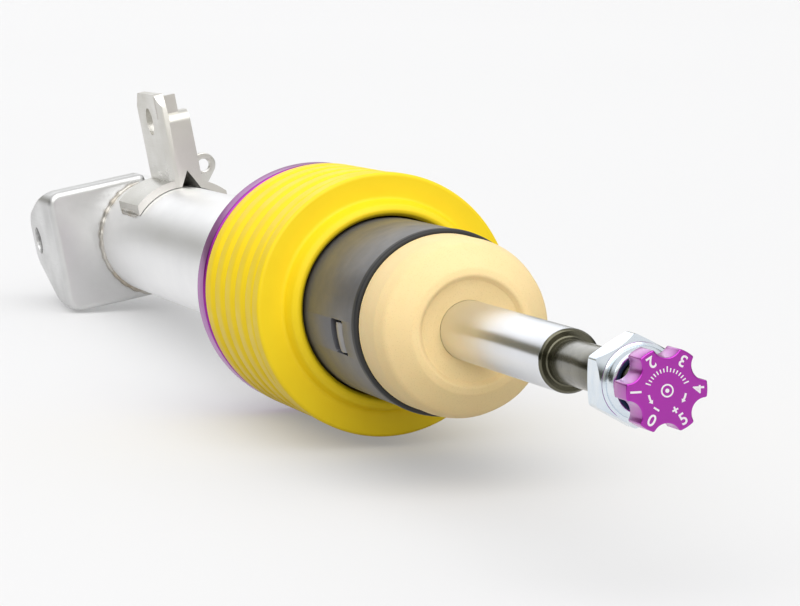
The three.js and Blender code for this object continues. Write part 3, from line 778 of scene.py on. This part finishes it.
WINDOW_ROLL = math.radians(10)
WINDOW_SETBACK = 18.0  # from the sleeve's front edge to the window's middle
WINDOW_LENGTH = 14.0
WINDOW_WIDTH = 12.0
WINDOW_CORNER_R = 1.2
SLEEVE_EDGE = 0.25


def make_sleeve():
    wall = (sleeve_r + sleeve_bore) / 2
    profile = [(sleeve_back, sleeve_bore, 0.3), (sleeve_back, sleeve_r, 0.4), (sleeve_front, sleeve_r, 0.3),
               (sleeve_front, sleeve_bore, 0.3)]
    made = revolve("dust_sleeve_body", profile, 192)
    turn = Matrix.Rotation(WINDOW_ROLL, 4, "X")
    middle = sleeve_front - WINDOW_SETBACK
    half_length, half_width = WINDOW_LENGTH / 2, WINDOW_WIDTH / 2
    out, deep = -sleeve_r - 4, -sleeve_bore + 6
    outline = [(middle - half_length, out), (middle + half_length, out),
               (middle + half_length, deep), (middle - half_length, deep)]
    cutter = bevel(sheet("cutter", outline, -half_width, half_width, "XY"), WINDOW_CORNER_R, 4)
    cutter.data.transform(turn)
    carve(made, cutter)
    bevel(made, SLEEVE_EDGE, 2, 50)
    place(made, "bump", "sleeve_plastic", ["dust_sleeve"], sharp=40)

    # the clip's tongue lies in the window's front half, on the sleeve's own curve
    half_angle = (half_width - 1.0) / wall
    angles = spaced(-half_angle, half_angle, 14)
    front, back = middle + half_length - 0.9, middle - 0.8
    # station, how far the inside stands off the bore, how far the outside lies under the surface
    sections = ((back, 0.2, 0.35), (back + 0.5, 0.3, 0.0), (back + 3.4, 0.0, -0.35), (front, -0.2, 0.05))
    rings = []
    for x, inside, outside in sections:
        path = [(a, sleeve_r - outside) for a in angles]
        path += [(a, sleeve_bore + inside) for a in reversed(angles)]
        rings.append([Vector((x, -r * math.cos(a), -r * math.sin(a))) for a, r in path])
    tongue = skin("sleeve_clip_tongue", rings)
    tongue.data.transform(turn)
    bevel(tongue, SLEEVE_EDGE, 2, 30)
    place(tongue, "bump", "sleeve_plastic", material=CLIP)

    lip = [(rim_back, sleeve_bore, 0.2), (rim_front, sleeve_bore, 0.5), (rim_front, rim_r - 0.2, 1.1),
           (rim_back, rim_r, 0.7)]
    place(revolve("sleeve_rim_ring", lip, 192), "bump", "rubber", ["sleeve_rim"])


make_bump_stop()
make_sleeve()

# ---- spring seat, collar and lock ring

seat_back, seat_lip, seat_bore, seat_r = span("spring_seat")
collar_back, collar_front, collar_bore, collar_r = span("perch_collar")
ring_back, ring_front, ring_bore, ring_r = span("lock_ring")
TURNED_STEPS = 216
SEAT_HUB_R = 37.6  # foot of the lip that centres the spring
SEAT_LIP_R = 34.4
RIBS = 5
RIB_DEPTH = 2.2
RIB_FROM, RIB_TO = 0.22, 0.74  # where a rib's crest lies in its pitch
THREAD_LENGTH = 23.0  # the narrow stretch of the collar's bore
RING_SCREW_BORE = 2.6


def make_seat():
    face = Vector(mounts["spring_seat_face"]["pos_m"])
    seat_face = (face - SHOULDER).dot(AXIS) / MM
    profile = [
        (seat_back, seat_bore, 0.3), (seat_back, seat_r, 0.8), (seat_face, seat_r, 1.4),
        (seat_face, SEAT_HUB_R, 1.6), (seat_face + 3.4, SEAT_HUB_R - 0.7, 1.6),
        (seat_lip - 1.4, SEAT_HUB_R - 1.4, 1.6), (seat_lip, SEAT_LIP_R, 1.2),
        (seat_lip - 0.3, seat_bore + 1.0, 1.0), (seat_lip - 2.2, seat_bore, 1.0),
    ]
    place(revolve("spring_seat_disc", profile, TURNED_STEPS), "seat", "yellow", ["spring_seat"])


def make_collar():
    pitch = (collar_front - collar_back) / RIBS
    groove = collar_r - RIB_DEPTH
    cup = sleeve_r + 1
    profile = [(collar_front, cup, 0.3)]
    for rib in range(RIBS):
        at = collar_front - pitch * rib
        profile.append((at, groove, 0.2 if rib == 0 else 2.4))
        profile.append((at - pitch * RIB_FROM, collar_r, 3.2))
        profile.append((at - pitch * RIB_TO, collar_r, 3.6))
    profile += [(collar_back, groove, 0.2), (collar_back, collar_bore, 0.3)]
    threaded = collar_back + THREAD_LENGTH
    profile += [(threaded, collar_bore, 0.5), (threaded + 3, cup, 0.5)]
    place(revolve("perch_collar_body", profile, TURNED_STEPS), "collar", "yellow", ["perch_collar"])


def make_lock_ring():
    middle = (ring_back + ring_front) / 2
    profile = [(ring_front, ring_bore, 0.4), (ring_front, ring_r, 1.0), (ring_back, ring_r, 1.0),
               (ring_back, ring_bore, 0.4)]
    made = revolve("lock_ring_body", profile, TURNED_STEPS)
    carve(made, bore("Y", 20, ring_r + 3, RING_SCREW_BORE, (middle, 0, 0)))
    place(made, "ring", "anodised", ["lock_ring"], sharp=28, material=RING_FINISH)


SCREW_CHAMFER = 0.3
SOCKET_DEPTH_SHARE = 0.4


def socket_screw(name, node, body, radius, socket):
    """A headless screw with a hexagon socket in place of a CAD screw, its open end outwards."""
    low, high = extent(node, STRUT)
    middle = (low + high) / 2
    if middle.y > abs(middle.z):
        length = high.y - low.y
        where = Matrix.Translation((middle.x, high.y, middle.z)) @ Matrix.Rotation(math.pi / 2, 4, "Z")
    else:
        length = high.z - low.z
        where = Matrix.Translation((middle.x, middle.y, low.z)) @ Matrix.Rotation(math.pi / 2, 4, "Y")

    def six_sided(angle):
        return hexagonal(angle, socket, 2 * socket)

    edge_r = radius - SCREW_CHAMFER
    stations = [(-length, edge_r), (-length + SCREW_CHAMFER, radius), (-SCREW_CHAMFER, radius),
                (0, edge_r), (0, six_sided), (-length * SOCKET_DEPTH_SHARE, six_sided)]
    made = skin(name, turned(stations, 48))
    place(made, body, "dark_steel", [node], matrix=STRUT @ where)


make_seat()
make_collar()
make_lock_ring()
socket_screw("ring_clamp_screw", "lock_set_screw", "ring", 2.2, 1.25)
socket_screw("knob_clamp_screw", "knob_grub_screw", "adjuster", 1.4, 0.75)

# ---- tube and cap

tube_back, tube_front, tube_bore, tube_r = span("damper_tube")
cap_back, cap_front, _, cap_r = span("bottom_cap")
TUBE_THREAD_FRONT = -222.0
TUBE_THREAD_BACK = -331.0
TUBE_PITCH = 2.0
TUBE_THREAD_DEPTH = 0.7
TUBE_STEPS = 128
CAP_STEPS = 96
CAP_GAP = 0.4  # between the cap's plug and the tube's bore


def make_tube():
    rear = [(tube_front - 1, tube_bore), (tube_back, tube_bore, 0.2), (tube_back, tube_r, 0.6),
            (tube_back + 20, tube_r)]
    front = [(TUBE_THREAD_FRONT, tube_r), (tube_front, tube_r, 0.8), (tube_front, tube_bore, 0.2),
             (tube_front - 1, tube_bore)]
    rings = turned(fillet(rear), TUBE_STEPS)
    rings += threaded_rings(TUBE_THREAD_BACK, TUBE_THREAD_FRONT, tube_r, TUBE_PITCH, TUBE_THREAD_DEPTH,
                            8, TUBE_STEPS, 3.0)
    rings += turned(fillet(front)[1:-1], TUBE_STEPS)
    place(skin("strut_tube", rings, loop=True), "housing", "stainless", ["damper_tube"])

    plug_r = tube_bore - CAP_GAP
    rim = tube_back - 0.3
    cap = [(cap_front, 0), (cap_front, plug_r, 0.4), (rim, plug_r), (rim, cap_r, 0.4),
           (cap_back + 0.6, cap_r, 1.0), (cap_back, cap_r - 2.0, 1.2), (cap_back + 0.5, cap_r - 5.0, 2.0),
           (cap_back + 2.6, cap_r - 8.0, 3.0), (cap_back + 2.8, 0)]
    cap = [(max(x, cap_back), max(r, 0.01)) for x, r in fillet(cap)]
    place(skin("tube_end_cap", turned(cap, CAP_STEPS)), "housing", "stainless", ["bottom_cap"])


make_tube()

# ---- lower brackets

PLATE = 4.0
BEND_R = 6.0
FLANGE = 14.0  # how far the sides run back at full height
NOSE_R = 14.0
CORNER_ROUND = 2.6
LUG_HOLE_R = 6.3
SADDLE_R = tube_r + 0.3  # where the brackets sit on the tube
WELD_NUT_FLAT_R = 9.0
WELD_NUT_BORE_R = 6.1
KNUCKLE_EDGE, LINK_EDGE, HOSE_EDGE = 0.6, 0.45, 0.4  # rounding of cut edges
CUT_ANGLE = 38  # edges sharper than this are rounded
SADDLE_STEPS = 160


def circle_tangent(centre, radius, corner, side):
    """Angle at which a line from a corner touches a circle, on one side or the other."""
    away = Vector(corner) - Vector(centre)
    return math.atan2(away.y, away.x) + side * math.acos(radius / away.length)


def folded(low, high, inset):
    """Front view of the folded sheet; the tube's side stays open."""
    outer, top, bottom = low.y + inset, high.z - inset, low.z + inset
    bend = max(BEND_R - inset, 0.5)
    return fillet([(inset, bottom), (inset, top), (outer, top, bend), (outer, bottom, bend)], closed=True)


def make_knuckle_bracket():
    low, high = extent("knuckle_bracket")
    nut_low, nut_high = extent("bracket_weld_nut")
    lug = ((nut_low.x + nut_high.x) / 2, (nut_low.z + nut_high.z) / 2)
    front, rear = high.x, low.x - 1
    made = sheet("knuckle_bracket_sheet", folded(low, high, 0), rear, front, "YZ")
    bevel(made, CORNER_ROUND, 5, 60)
    hollow = sheet("cutter", folded(low, high, PLATE), rear - 4, front - PLATE, "YZ")
    carve(made, hollow)

    flange_end = front - FLANGE
    start = circle_tangent(lug, NOSE_R, (flange_end, high.z), 1)
    end = circle_tangent(lug, NOSE_R, (flange_end, low.z), -1) % TAU
    side = [(front + 1, low.z - 1), (front + 1, high.z + 1), (flange_end, high.z + 1), (flange_end, high.z)]
    side += arc(lug, NOSE_R, start, end, 40)
    side += [(flange_end, low.z), (flange_end, low.z - 1)]
    carve(made, sheet("cutter", side, low.y - 2, 2, "XZ"), "INTERSECT")
    carve(made, bore("X", rear - 6, front + 4, SADDLE_R, count=SADDLE_STEPS))
    carve(made, bore("Y", low.y - 3, low.y + PLATE + 3, LUG_HOLE_R, (lug[0], 0, lug[1])))
    bevel(made, KNUCKLE_EDGE, 3, CUT_ANGLE)
    place(made, "housing", "plated", ["knuckle_bracket"], matrix=BRACKETS, sharp=30)
    make_weld_nut(nut_low, nut_high, lug)


def make_weld_nut(low, high, lug):
    """A square-shouldered hexagon nut behind the lug's hole, along Y."""
    flat, hole = WELD_NUT_FLAT_R, WELD_NUT_BORE_R
    length = high.y - low.y

    def six_sided(angle):
        return hexagonal(angle + TAU / 12, flat, flat * 1.12)

    stations = [(0, hole + 0.6), (0, six_sided), (length - 0.9, six_sided), (length, flat - 0.2),
                (length, hole + 0.6), (length - 0.6, hole), (0.6, hole)]
    made = skin("lug_weld_nut", turned(stations, 120), loop=True)
    turn = Matrix.Translation((lug[0], low.y, lug[1])) @ Matrix.Rotation(math.pi / 2, 4, "Z")
    place(made, "housing", "plated", ["bracket_weld_nut"], matrix=BRACKETS @ turn, sharp=24)


WELD_PROFILE = 12
WELD_RIPPLE = 5  # points along the path for one ripple


def weld_bead(name, path, width, height, seed):
    """A rippled weld bead along a path of (point, outward direction, sideways direction)."""
    rings = []
    for k, (point, out, across) in enumerate(path):
        wobble = 0.10 * noise.noise(Vector((k * 0.31, seed, 0)))
        ripple = 0.86 + 0.14 * math.cos(k * TAU / WELD_RIPPLE) + wobble
        size = ripple * min(1.0, 0.35 + min(k, len(path) - 1 - k) / WELD_RIPPLE)
        ring = []
        for i in range(WELD_PROFILE):
            angle = TAU * i / WELD_PROFILE
            sideways, outward = width * size * math.cos(angle), height * size * math.sin(angle)
            ring.append(point + across * sideways + out * outward)
        rings.append(ring)
    place(skin(name, rings), "housing", "plated", matrix=BRACKETS, sharp=60, material=WELD)


def box_outline(u, v, to_u, to_v):
    return [(u, v), (to_u, v), (to_u, to_v), (u, to_v)]


def wedge(front, back, sides, base, peak):
    """A tent: a triangle at the front that runs down to its base line at the back."""
    low_y, high_y = sides
    deep = base - 4
    middle = (low_y + high_y) / 2
    corners = [(front, low_y, base), (front, high_y, base), (front, middle, peak), (back, middle, base),
               (front, low_y, deep), (front, high_y, deep), (back, middle, deep)]
    bm = bmesh.new()
    made = bmesh.ops.convex_hull(bm, input=[bm.verts.new(c) for c in corners])
    inside = [e for e in made["geom_interior"] if isinstance(e, bmesh.types.BMVert)]
    bmesh.ops.delete(bm, geom=inside, context="VERTS")
    return finished_bmesh("cutter", bm)


LINK_WEB = -2.4  # the web's outer face
LINK_FLANGE = 11.2  # the flange's free edge
LINK_GAUGE = 3.2
LINK_BEND = 4.4
LINK_STEP = 9.0  # how far the flange stops under the web's top
LINK_SHELF = 10.0  # the fold back at the flange's top
LINK_SHELF_DROP = 12.0
LINK_NOTCH = 11.0  # how far down the flange makes way for the shelf
LINK_TIP_FRONT, LINK_TIP_BACK = 3.0, 6.0  # the web's cut corners
LINK_FOOT = 18.0
LINK_TOE = (-19, 21)  # where the saddle feet end
LINK_LIP = (3.0, 7.3, 1.5)  # the tip's set back, its edge and its drop
LINK_HOLE_BACK, LINK_HOLE_UP, LINK_HOLE_R = 19, 55, 6.0
# the pressed dart at the foot: length, sides and peak, outside and inside
DART_BASE = 24
DART = (24, (-1.4, 12.2), 35)
DART_HOLLOW = (18, (0.6, 10.2), 33)
BRACKET_FOOT = 20  # height inside the tube where an upright starts


def make_link_bracket():
    low, high = extent("arb_link_bracket")
    front, back, top = high.x, low.x, high.z
    inner = front - LINK_GAUGE
    web_inner = LINK_WEB + LINK_GAUGE
    flange_top = top - LINK_STEP
    shelf_from = flange_top - LINK_SHELF_DROP

    upright = [(back, LINK_WEB), (front, LINK_WEB, LINK_BEND), (front, LINK_FLANGE), (inner, LINK_FLANGE),
               (inner, web_inner, LINK_BEND - LINK_GAUGE), (back, web_inner)]
    made = sheet("link_bracket_sheet", fillet(upright, closed=True), BRACKET_FOOT, top, "XY")
    side = [(front + 1, LINK_FOOT), (front + 1, flange_top), (front - LINK_TIP_FRONT, top),
            (back + LINK_TIP_BACK, top), (back, top - LINK_TIP_BACK), (back, LINK_FOOT)]
    side = fillet([(*p, 1.5) for p in side], closed=True)
    carve(made, sheet("cutter", side, LINK_WEB - 3, LINK_FLANGE + 3, "XZ"), "INTERSECT")
    notch = box_outline(LINK_WEB + LINK_BEND, flange_top - LINK_NOTCH, LINK_FLANGE + 4, top + 4)
    carve(made, sheet("cutter", notch, front - 8, front + 4, "YZ"))

    shoe = [(front - 1, SADDLE_R - 1.5), (front - 1, SADDLE_R + LINK_GAUGE), (back, SADDLE_R + LINK_GAUGE),
            (back, SADDLE_R - 1.5)]
    shoes = skin("cutter", turned(shoe, SADDLE_STEPS), loop=True)
    keep = box_outline(LINK_TOE[0], 0, LINK_TOE[1], 40)
    carve(shoes, sheet("cutter", keep, back - 1, front + 1, "YZ"), "INTERSECT")
    carve(made, shoes, "UNION")

    shelf = [(front, shelf_from), (front, flange_top, 5.0), (front - LINK_SHELF, flange_top),
             (front - LINK_SHELF, flange_top - LINK_GAUGE), (inner, flange_top - LINK_GAUGE, 1.8),
             (inner, shelf_from)]
    shelf = fillet(shelf, closed=True)
    carve(made, sheet("cutter", shelf, LINK_WEB + LINK_BEND - 0.1, LINK_FLANGE, "XZ"), "UNION")
    set_back, lip_edge, drop = LINK_LIP
    lip = box_outline(LINK_WEB + 0.05, flange_top - 2, lip_edge, top - drop)
    carve(made, sheet("cutter", lip, inner - set_back, front - set_back, "YZ"), "UNION")
    length, sides, peak = DART
    carve(made, wedge(front - 1, front - length, sides, DART_BASE, peak), "UNION")
    carve(made, bore("X", back - 8, front + 4, SADDLE_R, count=SADDLE_STEPS))
    length, sides, peak = DART_HOLLOW
    carve(made, wedge(front + 1, front - length, sides, DART_BASE, peak))
    hole = (front - LINK_HOLE_BACK, 0, LINK_HOLE_UP)
    carve(made, bore("Y", LINK_WEB - 3, web_inner + 3, LINK_HOLE_R, hole))
    bevel(made, LINK_EDGE, 3, CUT_ANGLE)
    place(made, "housing", "plated", ["arb_link_bracket"], matrix=BRACKETS, sharp=30, material=LINK_FINISH)


HOSE_TAB_R = 5.5
HOSE_TAB_UP = 37
HOSE_HOLE_R = 2.8
HOSE_LEAN = math.radians(-39)


def make_hose_bracket():
    low, high = extent("hose_bracket")
    front, back = high.x, low.x
    foot = tube_r + 0.4
    outline = [(-HOSE_TAB_R, foot), (HOSE_TAB_R, foot), (HOSE_TAB_R, HOSE_TAB_UP)]
    outline += arc((0, HOSE_TAB_UP), HOSE_TAB_R, 0, math.pi, 24)[1:]
    made = sheet("hose_tab", outline, back, front, "YZ")
    carve(made, bore("X", back - 3, front + 3, HOSE_HOLE_R, (0, 0, HOSE_TAB_UP)))
    made.data.transform(Matrix.Rotation(HOSE_LEAN, 4, "X"))
    carve(made, bore("X", back - 5, front + 5, SADDLE_R, count=SADDLE_STEPS))
    bevel(made, HOSE_EDGE, 3, CUT_ANGLE)
    place(made, "housing", "plated", ["hose_bracket"], matrix=BRACKETS, sharp=30, material=LINK_FINISH)


def weld_look():
    """Weld metal: pale, rippled, with a straw to blue heat tint in patches."""
    g = Graph("weld")
    at = g.strut()
    cloud = g.noise(at, 120.0, 4.0)
    tint = g.mix(g.spread(cloud, 0.0, 1.0, 0.45, 0.75), (0.52, 0.50, 0.46), (0.36, 0.29, 0.20))
    g.set(Base_Color=tint, Metallic=1.0, Roughness=g.spread(cloud, 0.32, 0.5))
    g.set(Normal=g.bump(g.noise(at, 1600.0, 3.0), 0.3, 0.0001))
    return g.material


WELD = weld_look()
KNUCKLE_WELD_ARC = (math.radians(97), math.radians(258))
KNUCKLE_BEAD = (1.6, 1.4)  # half width and height
LINK_BEAD = (1.7, 1.3)


def make_welds():
    """Beads where the brackets meet the tube."""
    front = extent("knuckle_bracket")[1].x + 0.2
    path = []
    for angle in spaced(*KNUCKLE_WELD_ARC, 70):
        out = Vector((0, math.cos(angle), math.sin(angle)))
        path.append((out * (tube_r + 0.2) + Vector((front, 0, 0)), out, Vector((1, 0, 0))))
    weld_bead("knuckle_weld", path, *KNUCKLE_BEAD, 3.0)

    low, high = extent("arb_link_bracket")
    stations = spaced(high.x - 6, low.x + 4, 40)
    for number, toe in enumerate(LINK_TOE):
        angle = math.acos(toe / (tube_r + 1.0))
        out = Vector((0, math.cos(angle), math.sin(angle)))
        across = Vector((0, -out.z, out.y)) * (1 if toe < 0 else -1)
        along = out * (tube_r + 0.4) + across * 0.4
        path = [(along + Vector((x, 0, 0)), out, across) for x in stations]
        weld_bead(f"link_weld_{number + 1}", path, *LINK_BEAD, 7.0 + number)


make_knuckle_bracket()
make_link_bracket()
make_hose_bracket()
make_welds()

# ---- CAD nodes that stay

for name, node in frame["nodes"].items():
    if not node.hide_render:
        node.data.materials.clear()
        node.data.materials.append(MATERIALS[SLOT_OF[name]])

# ---- floor, light and camera


def make_floor():
    HALF_SIZE, DROP = 14.0, 0.0004
    DARK, PALE = (0.52, 0.52, 0.525), (0.54, 0.54, 0.545)
    GIVEN_BACK = (0.44, 0.44, 0.44)
    GLOW = 0.27

    bm = bmesh.new()
    bmesh.ops.create_grid(bm, x_segments=4, y_segments=4, size=HALF_SIZE)
    floor = finished_bmesh("floor", bm)
    if floor.data.polygons[0].normal.z < 0:
        floor.data.flip_normals()
    floor.location.z = cad_box[0].z - DROP
    g = Graph("floor")
    cloud = g.noise(g.node("ShaderNodeTexCoord").outputs["Object"], 0.8, 2.0)
    # little light comes back up from the floor onto the object's underside
    upward = g.node("ShaderNodeLightPath").outputs["Is Diffuse Ray"]
    pale = g.mix(cloud, DARK, PALE)
    g.set(Base_Color=g.mix(upward, pale, GIVEN_BACK), Roughness=0.75, Specular_IOR_Level=0.1)
    g.set(Emission_Color=g.mix(upward, (1, 1, 1), (0, 0, 0)), Emission_Strength=GLOW)
    floor.data.materials.append(g.material)


def make_world():
    """A bright studio: white behind the object and overhead, dim low down at the sides, grey in front."""
    BACK, OVER = (1.6, 1.62, 1.66), (0.86, 0.86, 0.86)
    DIM, GREY = (0.05, 0.05, 0.035), (0.50, 0.49, 0.45)
    HORIZON, BACKDROP = (0.27, 0.26, 0.21), (0.93, 0.93, 0.935)
    # where each one starts and is complete, as a part of the unit direction along an axis
    GREY_FROM, GREY_TO = 0.2, 0.85
    OVER_FROM, OVER_TO = 0.22, 0.55
    BACK_FROM, BACK_TO = 0.16, 0.23
    BEHIND_FROM, BEHIND_TO = -0.84, -0.92

    g = Graph("studio", bpy.data.worlds, "Background")
    bpy.context.scene.world = g.material
    direction = g.node("ShaderNodeTexCoord").outputs["Generated"]
    parts = g.node("ShaderNodeSeparateXYZ", Vector=direction).outputs

    def share(axis, low, high):
        return g.spread(parts[axis], 0.0, 1.0, low, high, "SMOOTHSTEP")

    colour = g.mix(share("X", GREY_FROM, GREY_TO), DIM, GREY)
    colour = g.mix(share("Z", OVER_FROM, OVER_TO), colour, OVER)
    behind = g.mix(share("Z", BACK_FROM, BACK_TO), HORIZON, BACK)
    colour = g.mix(share("X", BEHIND_FROM, BEHIND_TO), colour, behind)
    # the camera sees a pale backdrop beyond the floor, whatever the metal reflects
    seen = g.node("ShaderNodeLightPath").outputs["Is Camera Ray"]
    g.set(Color=g.mix(seen, colour, BACKDROP))


def soft_sun():
    """A very large soft light from the front, high up."""
    TOWARDS = (-0.60, 0.22, -0.85)
    POWER, SPREAD = 1.9, math.radians(75)
    data = bpy.data.lights.new("soft_key", "SUN")
    data.energy, data.angle = POWER, SPREAD
    lamp = linked("soft_key", data)
    lamp.rotation_euler = Vector(TOWARDS).to_track_quat("-Z", "Y").to_euler()


def make_camera():
    AIM_STATION, AIM_SIDE, AIM_UP = -0.17508, 0.00068, 0.00206
    AZIMUTH, ELEVATION = math.radians(-17.238), math.radians(8.161)
    DISTANCE, LENS, SENSOR = 1.1812, 152.06, 36.0
    aim = SHOULDER + AXIS * AIM_STATION + Vector((0, AIM_SIDE, AIM_UP))
    level = math.cos(ELEVATION)
    away = Vector((math.cos(AZIMUTH) * level, math.sin(AZIMUTH) * level, math.sin(ELEVATION)))
    data = bpy.data.cameras.new("camera")
    data.lens, data.sensor_width = LENS, SENSOR
    data.clip_start, data.clip_end = 0.05, 60.0
    camera = linked("camera", data)
    camera.location = aim + away * DISTANCE
    camera.rotation_euler = (-away).to_track_quat("-Z", "Y").to_euler()
    bpy.context.scene.camera = camera


make_floor()
make_world()
make_camera()
soft_sun()
bpy.context.scene.view_settings.view_transform = "Standard"

# ---- hand over

bpy.context.view_layer.update()
